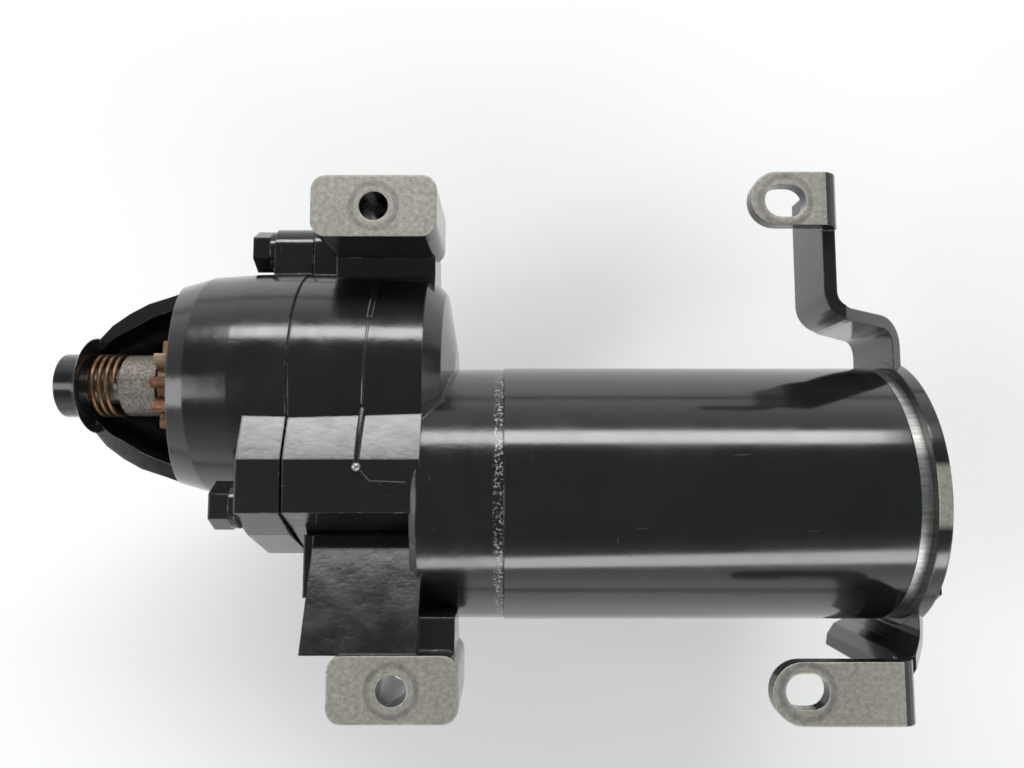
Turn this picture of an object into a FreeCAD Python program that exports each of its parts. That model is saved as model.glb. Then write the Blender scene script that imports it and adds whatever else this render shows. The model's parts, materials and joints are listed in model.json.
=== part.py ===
import FreeCAD, Part
import math
import os
import Sketcher

# Offset-gear starter motor. Working frame: X along the motor axis (rear is +X),
# motor axis at Y = Z = 0, pinion axis one gear centre distance up in +Y.
V = FreeCAD.Vector
doc = FreeCAD.newDocument("starter_motor")
sheet = doc.addObject("Spreadsheet::Sheet", "Sizes")
SIZES = {
    "motor_radius": 40.0, "frame_wall": 2.6, "frame_front": -2.4, "frame_rear": 113.7,
    "pinion_axis": 34.5, "mount_height": 42.0, "mount_hole": 4.2, "shaft_radius": 6.0,
    "solenoid_y": 16.0, "solenoid_z": -66.0, "solenoid_radius": 25.0,
    "plate_front": 117.2, "plate_rear": 121.1, "parting": -64.5, "nose_front": -77.5,
    "bolt_radius": 4.0, "head_height": 5.5,
}
for row, (alias, value) in enumerate(SIZES.items(), start=1):
    sheet.set("A%d" % row, alias)
    sheet.set("B%d" % row, str(value))
    sheet.setAlias("B%d" % row, alias)
doc.recompute()
R_MOTOR = SIZES["motor_radius"]
PIN_Y = SIZES["pinion_axis"]
TOP = SIZES["mount_height"]
SOL = (SIZES["solenoid_y"], SIZES["solenoid_z"])
SHAFT = SIZES["shaft_radius"]
# the record's origin is the upper front mounting hole, on the mounting face
ORIGIN = V(39.5, -82.0, -TOP)
LEVER_TILT = math.atan2(PIN_Y - SOL[0], -SOL[1])
made = []


def body(name):
    item = doc.addObject("PartDesign::Body", name)
    item.Label = name
    item.AllowCompound = True
    item.Placement = FreeCAD.Placement(ORIGIN, FreeCAD.Rotation())
    made.append(item)
    return item


def outline(part, plane, offset, shapes):
    """Sketch on an origin plane; a shape is a point list or (u, v, radius)."""
    sketch = part.newObject("Sketcher::SketchObject", part.Name + "_sketch")
    face = [f for f in part.Origin.OriginFeatures if f.Role == plane + "_Plane"][0]
    sketch.AttachmentSupport = [(face, "")]
    sketch.MapMode = "FlatFace"
    sketch.AttachmentOffset = FreeCAD.Placement(offset, FreeCAD.Rotation())
    for shape in shapes:
        if isinstance(shape, tuple):
            index = sketch.addGeometry(Part.Circle(V(shape[0], shape[1], 0), V(0, 0, 1), float(shape[2])))
            number = sketch.addConstraint(Sketcher.Constraint("Radius", index, float(shape[2])))
            for alias, value in SIZES.items():
                if value == shape[2]:
                    sketch.setExpression("Constraints[%d]" % number, "Sizes." + alias)
                    break
            continue
        corners = [V(p[0], p[1], 0) for p in shape]
        edges = [Part.LineSegment(a, b) for a, b in zip(corners, corners[1:] + corners[:1])]
        sketch.addGeometry(edges)
    return sketch


def turn(part, profile, y=0.0, z=0.0, cut=False):
    """Revolve (x, radius) points about the line parallel to X at (y, z)."""
    sketch = outline(part, "XY", V(0, y, z), [profile])
    kind = "PartDesign::Groove" if cut else "PartDesign::Revolution"
    feature = part.newObject(kind, part.Name + "_turn")
    feature.Profile = sketch
    feature.ReferenceAxis = (sketch, ["H_Axis"])
    feature.Angle = 360
    doc.recompute()
    return feature


def prism(part, axis, low, high, shapes, cut=False):
    """Extrude shapes from low to high along X (YZ outline), Y (XZ) or Z (XY)."""
    plane = {"X": "YZ", "Y": "XZ", "Z": "XY"}[axis]
    start = low
    if axis == "Y":
        start = -low if cut else -high
    elif cut:
        start = high
    sketch = outline(part, plane, V(0, 0, start), shapes)
    feature = part.newObject("PartDesign::Pocket" if cut else "PartDesign::Pad", part.Name + "_prism")
    feature.Profile = sketch
    feature.Length = high - low
    doc.recompute()
    return feature


def tube(x0, x1, inner, outer):
    return [(x0, inner), (x1, inner), (x1, outer), (x0, outer)]


def box(u0, u1, v0, v1):
    return [(u0, v0), (u1, v0), (u1, v1), (u0, v1)]


def hexagon(y, z, flats, turn_deg=0.0):
    radius = flats / math.sqrt(3.0)
    angles = [math.radians(turn_deg + 60 * k) for k in range(6)]
    return [(y + radius * math.cos(a), z + radius * math.sin(a)) for a in angles]


def arc(u, v, radius, start, stop, count=6):
    angles = [math.radians(start + (stop - start) * k / count) for k in range(count + 1)]
    return [(u + radius * math.cos(a), v + radius * math.sin(a)) for a in angles]


def rounded(u0, u1, v0, v1, radius):
    return (arc(u1 - radius, v1 - radius, radius, 0, 90) + arc(u0 + radius, v1 - radius, radius, 90, 180)
            + arc(u0 + radius, v0 + radius, radius, 180, 270) + arc(u1 - radius, v0 + radius, radius, 270, 360))


def strap(line, thick):
    """Outline of a strip of constant thickness along a centre line."""
    left, right = [], []
    for k, (u, v) in enumerate(line):
        before = line[max(0, k - 1)]
        after = line[min(len(line) - 1, k + 1)]
        du, dv = after[0] - before[0], after[1] - before[1]
        size = math.hypot(du, dv)
        left.append((u - dv / size * thick / 2, v + du / size * thick / 2))
        right.append((u + dv / size * thick / 2, v - du / size * thick / 2))
    return left + right[::-1]


def ring(name, x0, x1, inner, outer, y=0.0, z=0.0):
    part = body(name)
    turn(part, tube(x0, x1, inner, outer), y, z)
    return part


def gear_outline(teeth, module, y, phase, backlash=0.2, tip=1.0):
    """Involute tooth outline, 20 degree pressure angle."""
    pitch = teeth * module / 2.0
    base = pitch * math.cos(math.radians(20))
    root = pitch - 1.25 * module
    top = pitch + tip * module
    involute = math.tan(math.radians(20)) - math.radians(20)
    half = math.pi / (2 * teeth) - backlash / (2 * pitch)
    flank = []
    for step in range(4):
        radius = max(base, root) + (top - max(base, root)) * step / 3.0
        roll = math.acos(min(1.0, base / radius))
        flank.append((radius, half + involute - (math.tan(roll) - roll)))
    if root < base:
        flank.insert(0, (root, flank[0][1]))
    points = []
    for k in range(teeth):
        middle = phase + 2 * math.pi * k / teeth
        for radius, angle in flank:
            points.append((y + radius * math.cos(middle - angle), radius * math.sin(middle - angle)))
        for radius, angle in reversed(flank):
            points.append((y + radius * math.cos(middle + angle), radius * math.sin(middle + angle)))
    return points


def tilt(points):
    """Turn (across, down) points of the lever plane into (y, z) about the pinion axis."""
    c, s = math.cos(LEVER_TILT), math.sin(LEVER_TILT)
    return [(PIN_Y + a * c - d * s, -a * s - d * c) for a, d in points]


def group(name, shapes):
    feature = doc.addObject("Part::Feature", name)
    feature.Label = name
    feature.Shape = Part.makeCompound(shapes)
    feature.Placement = FreeCAD.Placement(ORIGIN, FreeCAD.Rotation())
    made.append(feature)
    return feature


def rod(x0, x1, radius, y, z):
    return Part.makeCylinder(radius, x1 - x0, V(x0, y, z), V(1, 0, 0))


def coil(x0, x1, radius, wire, turns, y, z):
    count = int(turns * 12)
    length = x1 - x0
    angles = [2 * math.pi * turns * k / count for k in range(count + 1)]
    path = Part.BSplineCurve()
    path.interpolate([V(radius * math.cos(a), radius * math.sin(a), length * k / count) for k, a in enumerate(angles)])
    start = path.tangent(path.FirstParameter)[0]
    spot = Part.Wire(Part.makeCircle(wire, V(radius, 0, 0), start))
    spring = Part.Wire(path.toShape()).makePipeShell([spot], True, False)
    spring.rotate(V(0, 0, 0), V(0, 1, 0), 90)
    spring.translate(V(x0, y, z))
    return spring


# ---- motor -------------------------------------------------------------
BOLT_ANGLES = [22.0, 142.0, 262.0]
BOLT_PLACES = [(34.2 * math.cos(math.radians(a)), 34.2 * math.sin(math.radians(a))) for a in BOLT_ANGLES]
frame = ring("motor_frame", SIZES["frame_front"], SIZES["frame_rear"],
             R_MOTOR - SIZES["frame_wall"], R_MOTOR)

magnets = []
for k in range(6):
    shell = Part.makeCylinder(37.3, 58, V(12, 0, 0), V(1, 0, 0), 46)
    shell = shell.cut(Part.makeCylinder(31.6, 60, V(11, 0, 0), V(1, 0, 0)))
    shell.rotate(V(0, 0, 0), V(1, 0, 0), 60 * k)
    magnets.append(shell.Solids[0])
# the gaps between the magnets are turned onto the through bolts
middle = magnets[0].CenterOfMass
first = math.degrees(math.atan2(middle.z, middle.y))
for shell in magnets:
    shell.rotate(V(0, 0, 0), V(1, 0, 0), BOLT_ANGLES[0] + 30 - first)
group("field_magnets", magnets)

shaft = body("armature_shaft")
turn(shaft, [(-73, 0), (-73, 4), (-59, 4), (-59, SHAFT), (116, SHAFT), (116, 0)])
prism(shaft, "X", -58.5, -38, [gear_outline(11, 1.5, 0.0, math.pi / 11)])
core = body("armature_core")
turn(core, tube(14, 70, SHAFT, 30.8))
slots = [[(24 * math.cos(a) - 1.6 * math.sin(a), 24 * math.sin(a) + 1.6 * math.cos(a)),
          (24 * math.cos(a) + 1.6 * math.sin(a), 24 * math.sin(a) - 1.6 * math.cos(a)),
          (32 * math.cos(a) + 1.6 * math.sin(a), 32 * math.sin(a) - 1.6 * math.cos(a)),
          (32 * math.cos(a) - 1.6 * math.sin(a), 32 * math.sin(a) + 1.6 * math.cos(a))]
         for a in [2 * math.pi * k / 15 for k in range(15)]]
prism(core, "X", 13, 71, slots, cut=True)
ends = [rod(5, 14, 29, 0, 0).cut(rod(5, 14, 12, 0, 0)), rod(70, 80, 29, 0, 0).cut(rod(70, 80, 12, 0, 0))]
bars = []
for k in range(15):
    bar = Part.makeBox(56, 5, 3.2, V(14, 24, -1.6))
    bar.rotate(V(0, 0, 0), V(1, 0, 0), 24 * k)
    bars.append(bar)
group("armature_windings", [ends[0].fuse(bars + [ends[1]])])
commutator = body("commutator")
turn(commutator, tube(81, 100, SHAFT, 16))
cuts = [[(14 * math.cos(a) - 0.4 * math.sin(a), 14 * math.sin(a) + 0.4 * math.cos(a)),
         (14 * math.cos(a) + 0.4 * math.sin(a), 14 * math.sin(a) - 0.4 * math.cos(a)),
         (17 * math.cos(a) + 0.4 * math.sin(a), 17 * math.sin(a) - 0.4 * math.cos(a)),
         (17 * math.cos(a) - 0.4 * math.sin(a), 17 * math.sin(a) + 0.4 * math.cos(a))]
        for a in [2 * math.pi * k / 15 for k in range(15)]]
prism(commutator, "X", 80, 101, cuts, cut=True)
ring("armature_front_bearing", -36, -28, SHAFT + 0.05, 14.0)
ring("armature_rear_bush", 104, 116, SHAFT + 0.05, 9.0)
ring("armature_nose_bush", -76, -65, 4.05, 7.0)

brush_plate = body("brush_plate")
turn(brush_plate, tube(101.5, 103.5, 17, 36.9))
prism(brush_plate, "X", 101, 104, [(y, z, 3.4) for y, z in BOLT_PLACES], cut=True)
for k in range(4):
    y0, z0 = [(1, 0), (0, 1), (-1, 0), (0, -1)][k]
    if y0:
        walls = [box(*sorted((17.5 * y0, 31 * y0)), -5.5, -4.1), box(*sorted((17.5 * y0, 31 * y0)), 4.1, 5.5)]
    else:
        walls = [box(-5.5, -4.1, *sorted((17.5 * z0, 31 * z0))), box(4.1, 5.5, *sorted((17.5 * z0, 31 * z0)))]
    prism(brush_plate, "X", 88, 101.5, walls)
brushes = []
brush_springs = []
for k in range(4):
    block = Part.makeBox(12, 9, 8, V(88.5, 16.1, -4))
    block.rotate(V(0, 0, 0), V(1, 0, 0), 90 * k)
    brushes.append(block)
    spring = coil(0, 7, 2.6, 0.4, 3.5, 0, 0)
    spring.rotate(V(0, 0, 0), V(0, 0, 1), 90)
    spring.translate(V(94.5, 25.5, 0))
    spring.rotate(V(0, 0, 0), V(1, 0, 0), 90 * k)
    brush_springs.append(spring)
group("brushes", brushes)
group("brush_springs", brush_springs)

end_frame = body("end_frame")
turn(end_frame, [(113.7, 9), (113.7, 37.3), (110, 37.3), (110, 35.5), (112, 35.5), (112, 12),
                 (104, 12), (104, 9)])
turn(end_frame, tube(113.7, 117.2, 9, 39.6))
turn(end_frame, [(116.2, 0), (117.2, 0), (117.2, 9.5), (116.2, 9.5)])
prism(end_frame, "X", 109, 118, [(y, z, 2.6) for y, z in BOLT_PLACES], cut=True)

# ---- rear bracket: plate with two offset arms ---------------------------
bracket = body("rear_bracket")
upper = ([(119.15, 30), (119.15, 45.5)] + arc(112.65, 45.5, 6.5, 15, 90) + [(98.75, 52)]
         + arc(98.75, 58.5, 6.5, 255, 180) + [(92.25, 91.5)])
prism(bracket, "Z", -16, 36, [strap(upper, 3.7)])
prism(bracket, "Y", 28, 93, [[(89, 50), (94.5, 37.6), (121.2, 16), (124, 16), (124, 50)]], cut=True)
prism(bracket, "Y", 28, 93, [[(89, 11.6), (96, 11.6), (121.2, -14), (124, -14), (124, -20), (89, -20)]], cut=True)
lower = [(119.15, -30), (119.15, -39), (118.2, -42), (114.5, -44.6), (110.6, -46.4), (108.8, -49),
         (108.25, -52.5), (108.25, -60.9)]
prism(bracket, "Z", -16, 36, [strap(lower, 3.7)])
prism(bracket, "Y", -62, -28, [[(106, 50), (111.5, 36.5), (121.2, 22), (124, 22), (124, 50)]], cut=True)
prism(bracket, "Y", -62, -52, [[(104, 6), (112, 6), (112, -17), (104, -17)]], cut=True)
turn(bracket, tube(SIZES["plate_front"], SIZES["plate_rear"], 12, 42.5))
for end, wall, low, high in ((75.8, 94.2, 76.5, 92.0), (78.5, 110.3, -61.3, -44.4)):
    fold = [(end + 8, 37.8), (wall - 5.2, 37.8)] + arc(wall - 6.1, 36.2, 2.2, 60, 0) + [(wall - 3.9, 34), (wall, 34)]
    prism(bracket, "Y", low, high, [fold + arc(wall - 6, TOP - 6, 6, 0, 90) + [(end + 8, TOP)]])
    tab = [(end + 9, low), (end + 9, high)] + arc(end, (low + high) / 2, (high - low) / 2, 90, 270, 16)
    prism(bracket, "Z", 37.8, TOP, [tab])
for slot_x, slot_y in ((78.0, 83.5), (79.5, -52.2)):
    slot = arc(slot_x + 1.2, slot_y, 4.7, -90, 90, 12) + arc(slot_x - 1.2, slot_y, 4.7, 90, 270, 12)
    prism(bracket, "Z", 30, 45, [slot], cut=True)
prism(bracket, "X", 117, 122, [(y, z, 2.6) for y, z in BOLT_PLACES], cut=True)
through = []
for y, z in BOLT_PLACES:
    head = Part.makePolygon([V(121.1, p[0], p[1]) for p in hexagon(y, z, 8) + hexagon(y, z, 8)[:1]])
    head = Part.Face(head).extrude(V(4.5, 0, 0))
    through.append(head.fuse(rod(-12, 121.5, 2.5, y, z)))
group("through_bolts", through)

# ---- gear housing -------------------------------------------------------
LOBE = [(34.5, -33), (34.5, 30), (26, 32.5), (10, 39), (-4.8, 38.5), (-18.7, 7), (-21, -8), (-17, -24), (-4, -35)]
case = body("gear_housing")
turn(case, [(-64.5, 0), (-64.5, 36.3), (-26, 35.5), (-21, 30), (-18, 12), (-18, 0)], PIN_Y)
prism(case, "X", -64.5, -26, [LOBE])
turn(case, [(-29, 0), (-29, 38), (-27, 39.6), (-2.4, 39.6), (-2.4, 0)])
prism(case, "Z", 10, TOP, [rounded(-57.5, -21.5, 73.1, 91, 4.3)])
prism(case, "X", -55, -24, [[(90, 14), (89, 8), (82, 0), (60, -6), (60, 20), (67, 17), (74, 18)]])
prism(case, "X", -64.5, -48, [(79.5, 0, 8.0)])
prism(case, "X", -64.5, -48, [box(60, 79.5, -8, 8)])
prism(case, "Y", -30, -12, [[(-61, -6), (-61, 26), (-27, 26), (-27, -6)]])
prism(case, "X", -58, -26, [[(-12, 6), (-12, 26.5), (-43, 41), (-43, 20), (-30, 4)]])
prism(case, "Z", 14, TOP, [rounded(-50.2, -14.4, -60.8, -42.8, 4.3)])
prism(case, "X", -47, -16, [[(-34, 20), (-34, 34), (-44, 36), (-58, 18), (-50, 10)]])
ARM = tilt([(-15, 20), (15, 20), (15, 62), (-15, 62)])
prism(case, "X", -64.5, -46, [ARM])
prism(case, "X", -64.5, -46, [(SOL[0], SOL[1], 24.0)])
turn(case, tube(-46, -42, 0, 26.5), SOL[0], SOL[1])
turn(case, tube(-64.5, -38, 0, 29.5), PIN_Y, cut=True)
turn(case, tube(-64.5, -38, 0, 12), cut=True)
turn(case, tube(-38, -28, 0, 14.0), cut=True)
turn(case, tube(-28, -24, 0, 9), cut=True)
turn(case, tube(-24, -2.4, 0, 29.5), cut=True)
turn(case, tube(-6, -2.4, 0, 36.8), cut=True)
turn(case, tube(-38, -28, 0, 8), PIN_Y, cut=True)
prism(case, "X", -64.5, -52, [tilt([(-10, 20), (10, 20), (10, 66), (-10, 66)])], cut=True)
turn(case, tube(-64.5, -42, 0, 13.0), SOL[0], SOL[1], cut=True)
prism(case, "Z", 0, 50, [(-39.5, 82.0, SIZES["mount_hole"]), (-32.6, -52.0, SIZES["mount_hole"])], cut=True)
FRONT_BOLTS = [(79.5, 0.0), (-3.0, 32.0), (-3.0, -28.0)]
prism(case, "X", -64.5, -50, [(y, z, SIZES["bolt_radius"]) for y, z in FRONT_BOLTS], cut=True)
prism(case, "X", -14, -2, [(y, z, 2.55) for y, z in BOLT_PLACES], cut=True)

# ---- nose housing -------------------------------------------------------
nose = body("nose_housing")
turn(nose, [(-146, 0), (-146, 10.4), (-140, 10.4), (-139, 12.5), (-137.5, 14.5), (-132.6, 20), (-127, 24),
            (-121, 27.3), (-113, 29.9), (-107, 32), (-95, 35.4), (-82, 36.3), (-65, 36.6), (-65, 0)], PIN_Y)
prism(nose, "X", -77.5, -65, [[(34.5, -33), (34.5, 30), (26, 33), (10, 39.5), (-4.8, 39.5), (-12, 26),
                               (-19.5, 4), (-21, -10), (-16, -26), (-4, -36)]])
prism(nose, "X", -77.5, -65, [(79.5, 0, 7.4)])
prism(nose, "X", -77.5, -65, [box(60, 79.5, -7.4, 7.4)])
prism(nose, "X", -93, -65, [tilt([(-15, 20), (15, 20), (15, 82), (9, 88), (-9, 88), (-15, 82)])])
turn(nose, [(-136.5, 0), (-136.5, 11.5), (-131.5, 16), (-126, 19), (-120, 22.5), (-112, 25.5), (-104, 28),
            (-92, 30.5), (-65, 31), (-65, 0)], PIN_Y, cut=True)
prism(nose, "X", -89, -65, [tilt([(-11, 20), (11, 20), (11, 82), (-11, 82)])], cut=True)
turn(nose, tube(-145, -135, 0, 8), PIN_Y, cut=True)
prism(nose, "Y", -10, 80, [[(-136.5, 0.5), (-107, 0.5), (-99, 40), (-136.5, 40)]], cut=True)
turn(nose, tube(-76, -65, 0, 7), cut=True)
prism(nose, "X", -78, -65, [(y, z, 4.2) for y, z in FRONT_BOLTS], cut=True)

gasket = body("housing_gasket")
prism(gasket, "X", -65, -64.5, [(PIN_Y, 0, 35.9), (PIN_Y, 0, 32.2)])
prism(gasket, "X", -66, -64, [(0, 0, 7.5)], cut=True)
bolts = []
washers = []
for y, z in FRONT_BOLTS:
    points = [V(-85, p[0], p[1]) for p in hexagon(y, z, 12) + hexagon(y, z, 12)[:1]]
    head = Part.Face(Part.makePolygon(points)).extrude(V(5.5, 0, 0))
    bolts.append(head.fuse(rod(-80, -50.5, 3.95, y, z)))
    washers.append(rod(-79.5, -77.5, 6.6, y, z).cut(rod(-80, -77, 4.05, y, z)))
group("housing_bolts", bolts)
group("lock_washers", washers)

# ---- drive --------------------------------------------------------------
output = body("output_shaft")
turn(output, [(-144.5, 0), (-144.5, SHAFT), (-76, SHAFT), (-76, 7), (-60, 7), (-60, SHAFT), (-28.5, SHAFT), (-28.5, 0)],
     PIN_Y)
gear = body("reduction_gear")
prism(gear, "X", -56, -42, [gear_outline(35, 1.5, PIN_Y, math.pi), (PIN_Y, 0, 6.0)])
ring("output_rear_bush", -38, -28, SHAFT + 0.05, 8.0, PIN_Y)
ring("nose_bush", -145, -137.5, SHAFT + 0.05, 8.0, PIN_Y)
ring("gear_thrust_washer", -41.5, -39.5, SHAFT + 0.1, 10.0, PIN_Y)
clutch = body("clutch_shell")
turn(clutch, [(-95, 22.1), (-95, 26.5), (-80.5, 26.5), (-80.5, 16.5), (-74, 16.5), (-74, 21.5), (-72, 21.5),
              (-72, 8), (-81.5, 8), (-81.5, 22.1)], PIN_Y)
rollers = [rod(-94, -82, 3.0, PIN_Y + 18.7 * math.cos(a), 18.7 * math.sin(a))
           for a in [2 * math.pi * k / 6 for k in range(6)]]
group("clutch_rollers", rollers)
ring("clutch_cover", -97, -95, 15.6, 26.0, PIN_Y)
pinion = body("pinion")
prism(pinion, "X", -113.5, -98.5, [gear_outline(10, 2.5, PIN_Y, math.pi / 10, 0.3), (PIN_Y, 0, SHAFT + 0.15)])
turn(pinion, tube(-98.6, -82, SHAFT + 0.15, 15.3), PIN_Y)
ring("pinion_collar", -125.4, -113.8, SHAFT + 0.15, 10.0, PIN_Y)
group("return_spring", [coil(-135.2, -127.0, 9.6, 0.8, 3.5, PIN_Y, 0)])

# ---- solenoid and lever -------------------------------------------------
ring("solenoid_case", -42, 10, 22.6, SIZES["solenoid_radius"], *SOL)
ring("solenoid_coil", -40, 2, 13.2, 22.3, *SOL)
plunger = body("plunger")
turn(plunger, [(-60, 0), (-60, 12.3), (-8, 12.3), (-8, 0)], *SOL)
turn(plunger, [(-66, 0), (-66, 4), (-60, 4), (-60, 0)], *SOL)
turn(plunger, [(-86, 0), (-86, 8), (-83.5, 8), (-83.5, 4), (-66, 4), (-66, 0)], *SOL)
ring("plunger_stop", 2.2, 9.5, 5.0, 22.3, *SOL)
group("plunger_spring", [coil(-7.1, 1.1, 9.6, 0.8, 3.5, *SOL)])
cap = body("solenoid_cap")
turn(cap, [(10, 20), (10, 25), (30, 23), (34, 21), (34, 0), (31, 0), (31, 20)], *SOL)
STUDS = [(SOL[0] + 10, SOL[1]), (SOL[0] - 10, SOL[1])]
prism(cap, "X", 30, 35, [(y, z, 4.1) for y, z in STUDS], cut=True)
for name, (y, z) in zip(("battery_stud", "motor_stud"), STUDS):
    group(name, [rod(26, 48, 4.0, y, z).fuse(rod(24, 30.8, 6.5, y, z))])
nuts = []
for y, z in STUDS:
    points = [V(37, p[0], p[1]) for p in hexagon(y, z, 13) + hexagon(y, z, 13)[:1]]
    nuts.append(Part.Face(Part.makePolygon(points)).extrude(V(6, 0, 0)).cut(rod(36, 44, 4.05, y, z)))
group("stud_nuts", nuts)
ring("contact_disc", 19, 21, 2.6, 17, *SOL)
ring("contact_rod", 8, 23, 0.0, 2.5, *SOL)
terminal = body("switch_terminal")
prism(terminal, "X", 34, 44, [box(SOL[0] - 3, SOL[0] + 3, SOL[1] + 14.0, SOL[1] + 14.8)])
lever = body("shift_lever")
prism(lever, "X", -82.0, -75.5, [tilt([(-6, 61), (6, 61), (6, 62.9), (-6, 62.9)])])
prism(lever, "X", -78.6, -75.5, [tilt([(-8, 29), (8, 29), (6, 62.9), (-6, 62.9)])])
prism(lever, "X", -80.0, -74.1, [tilt([(-5, 39.5), (5, 39.5), (5, 44.5), (-5, 44.5)])])
for side in (-1, 1):
    tine = tilt([(side * 8, 29.5), (side * 5, 29.5), (side * 5, 18), (side * 8, 18)])
    prism(lever, "X", -78.6, -75.5, [tine])
pin_y, pin_z = tilt([(0, 42)])[0]
across = V(math.cos(LEVER_TILT), -math.sin(LEVER_TILT), 0)
pin_dir = V(0, math.cos(LEVER_TILT), -math.sin(LEVER_TILT))
pin_centre = V(-77.05, pin_y, pin_z)
pin = Part.makeCylinder(1.6, 21.8, pin_centre - pin_dir * 10.9, pin_dir)
group("lever_pin", [pin])
bore = doc.addObject("Part::Feature", "lever_bore")
lever_solid = lever.Shape.copy()
lever_solid.Placement = FreeCAD.Placement()
lever_solid = lever_solid.cut(Part.makeCylinder(1.7, 40, pin_centre - pin_dir * 20, pin_dir))
bore.Shape = lever_solid
bore.Placement = FreeCAD.Placement(ORIGIN, FreeCAD.Rotation())
made.remove(lever)
lever.Label = "lever_blank"
bore.Label = "shift_lever"
made.append(bore)
lead = body("motor_lead")
prism(lead, "X", 34.2, 36.5, [[(STUDS[1][0] - 6, STUDS[1][1] - 6), (STUDS[1][0] + 6, STUDS[1][1] - 6),
                               (STUDS[1][0] + 6, -40.3), (STUDS[1][0] - 6, -40.3)]])
prism(lead, "X", 34.2, 36.5, [(STUDS[1][0], STUDS[1][1], 4.05)], cut=True)
ring("frame_seal", -2.4, -1.9, 36.9, 37.3)

doc.recompute()
os.makedirs("parts", exist_ok=True)
for item in doc.Objects:
    if "Invalid" in item.State or "Error" in item.State:
        raise RuntimeError("bad object " + item.Name)
for item in made:
    if item.Shape.isNull() or not item.Shape.isValid() or not item.Shape.Solids:
        raise RuntimeError("bad shape " + item.Label)
    item.Shape.exportStep(os.path.join("parts", item.Label + ".step"))
    print(item.Label, len(item.Shape.Solids), round(item.Shape.Volume / 1000.0, 2))
print("nodes", len(made))
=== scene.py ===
import json
import math
import bpy
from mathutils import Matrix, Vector


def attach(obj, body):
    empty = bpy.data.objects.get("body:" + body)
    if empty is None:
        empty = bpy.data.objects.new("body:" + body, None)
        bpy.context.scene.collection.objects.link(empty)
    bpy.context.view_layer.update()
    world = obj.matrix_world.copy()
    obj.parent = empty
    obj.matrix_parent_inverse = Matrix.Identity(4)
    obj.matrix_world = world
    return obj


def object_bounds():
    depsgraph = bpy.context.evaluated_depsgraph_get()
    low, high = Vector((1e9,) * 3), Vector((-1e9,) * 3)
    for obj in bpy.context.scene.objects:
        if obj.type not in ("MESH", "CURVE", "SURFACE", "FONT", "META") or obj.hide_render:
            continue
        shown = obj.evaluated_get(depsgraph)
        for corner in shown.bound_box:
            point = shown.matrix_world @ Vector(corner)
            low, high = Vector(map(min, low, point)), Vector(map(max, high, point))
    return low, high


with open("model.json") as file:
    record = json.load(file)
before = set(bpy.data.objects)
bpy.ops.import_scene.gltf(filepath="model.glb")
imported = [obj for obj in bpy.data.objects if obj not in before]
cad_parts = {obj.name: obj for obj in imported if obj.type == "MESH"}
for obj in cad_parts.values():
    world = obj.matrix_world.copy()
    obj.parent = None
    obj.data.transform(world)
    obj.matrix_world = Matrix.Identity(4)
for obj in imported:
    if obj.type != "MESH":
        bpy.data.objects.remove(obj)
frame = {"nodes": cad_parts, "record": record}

SIZE_AT_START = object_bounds()
MM = 0.001
ORIGIN = Vector((39.5, -82.0, -42.0))
PIN_Y = 34.5
LENS_MM = 28.65
CAMERA_HEIGHT = 268.0
CAMERA_TILT = math.radians(5.67)
FLOOR_GAP = 0.0005
SEAM_X = 0.0358  # just ahead of the joint between gear housing and frame


def at(x, y, z):
    """Working millimetres (motor axis at Y = Z = 0) to the row frame in metres."""
    return (Vector((x, y, z)) + ORIGIN) * MM


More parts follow.
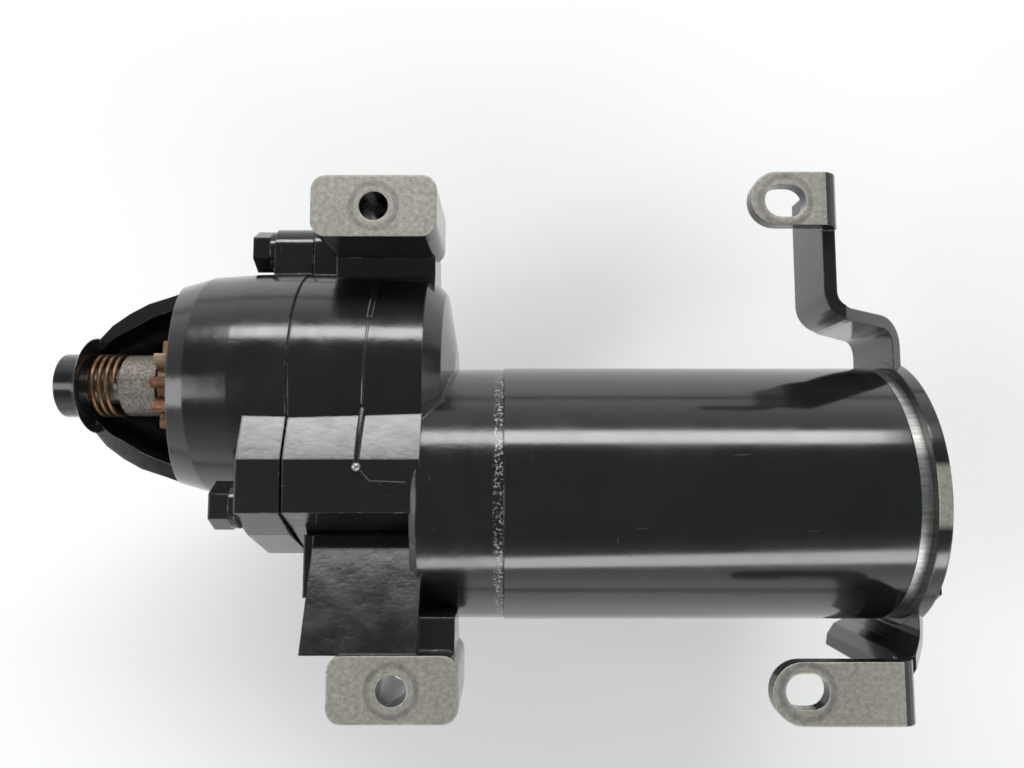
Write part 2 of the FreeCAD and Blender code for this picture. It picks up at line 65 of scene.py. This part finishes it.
class Shader:
    """Small helper that adds and links nodes of one material."""

    def __init__(self, name):
        self.mat = bpy.data.materials.new(name)
        self.mat.use_nodes = True
        self.tree = self.mat.node_tree
        self.bsdf = self.tree.nodes["Principled BSDF"]
        self.coord = self.tree.nodes.new("ShaderNodeTexCoord").outputs["Object"]

    def put(self, socket, value):
        if hasattr(value, "is_linked"):
            self.tree.links.new(value, socket)
        else:
            socket.default_value = value

    def math(self, op, a, b=0.0, clamp=False):
        n = self.tree.nodes.new("ShaderNodeMath")
        n.operation = op
        n.use_clamp = clamp
        self.put(n.inputs[0], a)
        self.put(n.inputs[1], b)
        return n.outputs[0]

    def noise(self, scale, detail=6.0, rough=0.6, stretch=(1, 1, 1)):
        m = self.tree.nodes.new("ShaderNodeMapping")
        m.inputs["Scale"].default_value = stretch
        self.put(m.inputs["Vector"], self.coord)
        n = self.tree.nodes.new("ShaderNodeTexNoise")
        n.inputs["Scale"].default_value = scale
        n.inputs["Detail"].default_value = detail
        n.inputs["Roughness"].default_value = rough
        self.put(n.inputs["Vector"], m.outputs[0])
        return n.outputs[0]

    def ramp(self, value, low, high, to_low=0.0, to_high=1.0):
        n = self.tree.nodes.new("ShaderNodeMapRange")
        n.clamp = True
        self.put(n.inputs["Value"], value)
        for key, number in zip(("From Min", "From Max", "To Min", "To Max"), (low, high, to_low, to_high)):
            n.inputs[key].default_value = number
        return n.outputs[0]

    def color(self, factor, a, b):
        n = self.tree.nodes.new("ShaderNodeMix")
        n.data_type = "RGBA"
        self.put(n.inputs[0], factor)
        self.put(n.inputs[6], a if hasattr(a, "is_linked") else (*a, 1))
        self.put(n.inputs[7], b if hasattr(b, "is_linked") else (*b, 1))
        return n.outputs[2]

    def split(self, vector):
        n = self.tree.nodes.new("ShaderNodeSeparateXYZ")
        self.put(n.inputs[0], vector)
        return n.outputs

    def edge_wear(self):
        """Patchy wear on sharp edges, where the rounded normal leaves the flat one."""
        soft = self.tree.nodes.new("ShaderNodeBevel")
        soft.samples = 6
        soft.inputs["Radius"].default_value = 0.0005
        flat = self.tree.nodes.new("ShaderNodeNewGeometry").outputs["Normal"]
        dot = self.tree.nodes.new("ShaderNodeVectorMath")
        dot.operation = "DOT_PRODUCT"
        self.put(dot.inputs[0], soft.outputs[0])
        self.put(dot.inputs[1], flat)
        turned = self.math("SUBTRACT", 1.0, dot.outputs["Value"])
        patch = self.ramp(self.noise(260, 8, 0.7), 0.54, 0.62)
        return self.math("MULTIPLY", self.ramp(turned, 0.06, 0.12), patch)

    def scratches(self, scale, stretch, low=0.70):
        return self.ramp(self.noise(scale, 3, 0.5, stretch), low, low + 0.03)

    def ring(self, x, y, radius, width):
        """1 inside a band round a vertical axis through the row-frame point x, y."""
        sx, sy, _ = self.split(self.coord)
        dx = self.math("SUBTRACT", sx, x * MM)
        dy = self.math("SUBTRACT", sy, y * MM)
        dist = self.math("SQRT", self.math("ADD", self.math("MULTIPLY", dx, dx), self.math("MULTIPLY", dy, dy)))
        away = self.math("ABSOLUTE", self.math("SUBTRACT", dist, radius * MM))
        return self.ramp(away, width * MM * 0.5, width * MM, 1.0, 0.0)

    def finish(self, base, rough, metal, height, bump=0.1, bevel=0.0006):
        b = self.bsdf
        self.put(b.inputs["Base Color"], base if hasattr(base, "is_linked") else (*base, 1))
        self.put(b.inputs["Roughness"], rough)
        self.put(b.inputs["Metallic"], metal)
        n = self.tree.nodes.new("ShaderNodeBump")
        n.inputs["Strength"].default_value = bump
        n.inputs["Distance"].default_value = 0.0006
        self.put(n.inputs["Height"], height)
        edge = self.tree.nodes.new("ShaderNodeBevel")
        edge.samples = 6
        edge.inputs["Radius"].default_value = bevel
        self.put(n.inputs["Normal"], edge.outputs[0])
        self.put(b.inputs["Normal"], n.outputs[0])
        return self.mat


# hole centres in row millimetres, and the radius of the scraped ring round each
HOLES = ((0.0, 0.0, 6.6), (6.9, -134.0, 6.8), (117.5, 1.5, 7.2), (119.0, -134.2, 7.2))


def paint(name, cast, seam=False, bevel=0.0008):
    """Glossy black paint over metal; mounting faces (row Z = 0, facing up) are bare."""
    s = Shader(name)
    normal = s.tree.nodes.new("ShaderNodeNewGeometry").outputs["Normal"]
    up = s.ramp(s.split(normal)[2], 0.96, 0.99)
    sx, sy, sz = s.split(s.coord)
    faced = s.math("MULTIPLY", up, s.ramp(sz, -0.0006, -0.0002))
    grain = s.noise(900, 8, 0.7)
    coarse = s.noise(130 if cast else 45, 7)
    marks = s.scratches(60, (1, 12, 12), 0.73)
    marks2 = s.scratches(75, (14, 1.5, 6), 0.74)
    flecks = s.ramp(s.noise(520, 4), 0.77, 0.80)
    wear = s.edge_wear()
    if seam:
        band = s.ramp(s.math("ABSOLUTE", s.math("SUBTRACT", sx, SEAM_X)), 0.0010, 0.0018, 1.0, 0.0)
        scuff = s.math("MULTIPLY", band, s.ramp(s.noise(1100, 8), 0.52, 0.60))
        wear = s.math("MAXIMUM", wear, scuff)
    wear = s.math("MAXIMUM", wear, s.math("MULTIPLY", flecks, 0.35))
    scratch = s.math("MULTIPLY", s.math("MAXIMUM", marks, marks2), 0.10)
    black = s.color(s.noise(30, 4), (0.006, 0.006, 0.007), (0.016, 0.016, 0.017))
    steel = s.color(grain, (0.30, 0.29, 0.27), (0.56, 0.55, 0.52))
    rings = 0.0
    for x, y, radius in HOLES:
        rings = s.math("MAXIMUM", rings, s.ring(x, y, radius, 1.0))
    rings = s.math("MULTIPLY", rings, s.ramp(s.noise(300, 5), 0.35, 0.6, 0.2, 0.9))
    pad = s.color(s.ramp(s.noise(700, 9, 0.75), 0.35, 0.65), (0.27, 0.25, 0.22), (0.48, 0.46, 0.41))
    pad = s.color(s.ramp(s.noise(1500, 3), 0.66, 0.72), pad, (0.16, 0.14, 0.12))
    pad = s.color(rings, pad, (0.20, 0.19, 0.18))
    base = s.color(scratch, black, (0.5, 0.5, 0.5))
    base = s.color(s.math("MULTIPLY", wear, 0.7), base, steel)
    base = s.color(faced, base, pad)
    rough = s.ramp(coarse, 0.3, 0.7, 0.08 if not cast else 0.10, 0.20 if not cast else 0.22)
    rough = s.math("ADD", rough, s.math("MULTIPLY", s.math("MAXIMUM", wear, faced), 0.30), True)
    metal = s.math("MULTIPLY", s.math("MAXIMUM", wear, faced), 0.55)
    height = s.math("ADD", s.math("MULTIPLY", coarse, 0.8 if cast else 0.12), s.math("MULTIPLY", grain, 0.15))
    s.bsdf.inputs["Coat Weight"].default_value = 0.35
    s.bsdf.inputs["Coat Roughness"].default_value = 0.12
    return s.finish(base, rough, metal, height, 0.22 if cast else 0.10, bevel)


def metal(name, dark, light, low, high, scale=300, bump=0.15, metallic=0.9, spots=None, stretch=(1, 1, 1)):
    """Bare metal of two tones with grain and stains."""
    s = Shader(name)
    grain = s.noise(scale, 8, 0.7, stretch)
    stain = s.noise(90, 6)
    base = s.color(s.ramp(grain, 0.35, 0.65), dark, light)
    if spots:
        base = s.color(s.ramp(stain, 0.50, 0.62), base, spots)
    rough = s.ramp(stain, 0.3, 0.7, low, high)
    return s.finish(base, rough, metallic, grain, bump, 0.0003)


MATERIALS = {
    "cast": paint("cast_paint", True, True),
    "smooth": paint("smooth_paint", False),
    "steel": metal("machined_steel", (0.30, 0.30, 0.30), (0.55, 0.55, 0.54), 0.22, 0.45, 500, 0.1),
    "bare_end": metal("bare_end_rim", (0.28, 0.28, 0.27), (0.55, 0.55, 0.53), 0.25, 0.45, 400, 0.1,
                      stretch=(0.2, 3, 3)),
    "rusty_steel": metal("rusty_pinion", (0.10, 0.04, 0.02), (0.26, 0.13, 0.07), 0.35, 0.65, 600, 0.3, 0.6,
                         (0.34, 0.24, 0.17)),
    "sintered": metal("sintered_collar", (0.07, 0.06, 0.055), (0.30, 0.27, 0.24), 0.4, 0.6, 1300, 0.3, 0.7),
    "bronze": metal("bronze", (0.10, 0.05, 0.025), (0.26, 0.15, 0.08), 0.28, 0.5, 500, 0.15, 0.85),
    "copper": metal("copper", (0.45, 0.19, 0.09), (0.72, 0.36, 0.20), 0.25, 0.45, 500, 0.1, 0.95),
    "ferrite": metal("ferrite", (0.03, 0.03, 0.03), (0.08, 0.08, 0.08), 0.5, 0.7, 700, 0.2, 0.1),
    "plastic": metal("black_plastic", (0.012, 0.012, 0.012), (0.03, 0.03, 0.03), 0.35, 0.55, 800, 0.12, 0.0),
}
SMOOTH = ("motor_frame", "solenoid_case", "rear_bracket", "through_bolts", "housing_bolts", "lock_washers")
SLOTS = {row["node"]: row["material_slot"] for row in frame["record"]["subparts"]}
for node, obj in frame["nodes"].items():
    kind = SLOTS[node]
    if kind == "paint":
        kind = "smooth" if node in SMOOTH else "cast"
    obj.data.materials.clear()
    obj.data.materials.append(MATERIALS[kind])


def piece(obj, name, material):
    obj.name = name
    obj.data.materials.clear()
    obj.data.materials.append(MATERIALS[material])
    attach(obj, "base")
    return obj


def bead(name, points, radius, material="cast"):
    """A round bead swept through points in working millimetres."""
    curve = bpy.data.curves.new(name, "CURVE")
    curve.dimensions = "3D"
    curve.bevel_depth = radius * MM
    curve.bevel_resolution = 3
    curve.use_fill_caps = True
    line = curve.splines.new("POLY")
    line.points.add(len(points) - 1)
    for spot, point in zip(line.points, points):
        spot.co = (*at(*point), 1)
    source = bpy.data.objects.new(name + "_path", curve)
    bpy.context.collection.objects.link(source)
    bpy.context.view_layer.update()
    mesh = bpy.data.meshes.new_from_object(source.evaluated_get(bpy.context.evaluated_depsgraph_get()))
    bpy.data.objects.remove(source)
    for face in mesh.polygons:
        face.use_smooth = True
    obj = bpy.data.objects.new(name, mesh)
    bpy.context.collection.objects.link(obj)
    return piece(obj, name, material)


def lobe_arc(x0, x1, radius, start, stop, count=28):
    points = []
    for k in range(count + 1):
        part = k / count
        angle = math.radians(start + (stop - start) * part)
        points.append((x0 + (x1 - x0) * part, PIN_Y + radius * math.cos(angle), radius * math.sin(angle)))
    return points


# mould flash over the gear housing, ending in an ejector nub
bead("flash_strip", lobe_arc(-41.0, -42.0, 35.4, 22, 62), 1.1)
bead("flash_line", lobe_arc(-42.0, -43.0, 35.5, 60, 104), 0.55)
bead("flash_lower", [(-43, 26, 33.2), (-43.4, 18, 36.2), (-43.6, 10, 38.8), (-43.6, 8, 38.9)], 0.9)
bead("flash_low_line", [(-42.5, 7, 38.8), (-40, 4, 38.8), (-29.5, 3.6, 38.7)], 0.35)
bpy.ops.mesh.primitive_uv_sphere_add(radius=1.35 * MM, location=at(-43.6, 8, 38.9), segments=24, ring_count=12)
piece(bpy.context.object, "flash_nub", "bare_end")
# ---- surroundings --------------------------------------------------------
low = SIZE_AT_START[0]
floor_z = low[2] - FLOOR_GAP
bpy.ops.mesh.primitive_plane_add(size=6, location=(0.1, 0, floor_z))
floor = bpy.context.object
floor.name = "floor"
ground = Shader("pale_floor")
ground.finish(ground.color(ground.noise(8, 4), (0.90, 0.91, 0.90), (0.94, 0.94, 0.935)), 0.6, 0.0,
              ground.noise(200, 4), 0.03, 0.0001)
floor.data.materials.append(ground.mat)


def panel(name, place, target, size_x, size_y, power):
    data = bpy.data.lights.new(name, "AREA")
    data.shape = "RECTANGLE"
    data.size, data.size_y, data.energy = size_x, size_y, power
    obj = bpy.data.objects.new(name, data)
    obj.location = place
    obj.rotation_euler = (Vector(target) - Vector(place)).to_track_quat("-Z", "Y").to_euler()
    bpy.context.collection.objects.link(obj)


centre = at(0, 8, 0)
panel("key_panel", (0.05, 0.85, 0.75), centre, 1.3, 0.25, 11)
panel("side_panel", (-0.9, -0.2, 0.6), centre, 0.4, 1.0, 5)
panel("fill_panel", (0.4, -0.95, 0.5), centre, 1.3, 0.2, 5)
world = bpy.data.worlds.new("studio")
world.use_nodes = True
sky = world.node_tree
up_vector = sky.nodes.new("ShaderNodeTexCoord").outputs["Generated"]
parts = sky.nodes.new("ShaderNodeSeparateXYZ")
sky.links.new(up_vector, parts.inputs[0])
fade = sky.nodes.new("ShaderNodeValToRGB")
fade.color_ramp.elements[0].position = 0.05
fade.color_ramp.elements[0].color = (1.0, 1.0, 1.0, 1)
fade.color_ramp.elements[1].position = 0.75
fade.color_ramp.elements[1].color = (0.10, 0.12, 0.11, 1)
sky.links.new(parts.outputs[2], fade.inputs[0])
sky.links.new(fade.outputs[0], sky.nodes["Background"].inputs[0])
sky.nodes["Background"].inputs[1].default_value = 1.15
bpy.context.scene.world = world

data = bpy.data.cameras.new("camera")
data.lens = LENS_MM
data.sensor_width = 36.0
data.clip_start = 0.01
camera = bpy.data.objects.new("camera", data)
camera.location = at(0.0, 8.5, CAMERA_HEIGHT)
camera.rotation_euler = (CAMERA_TILT, 0, 0)
bpy.context.collection.objects.link(camera)
bpy.context.scene.camera = camera
bpy.context.scene.view_settings.view_transform = "Standard"
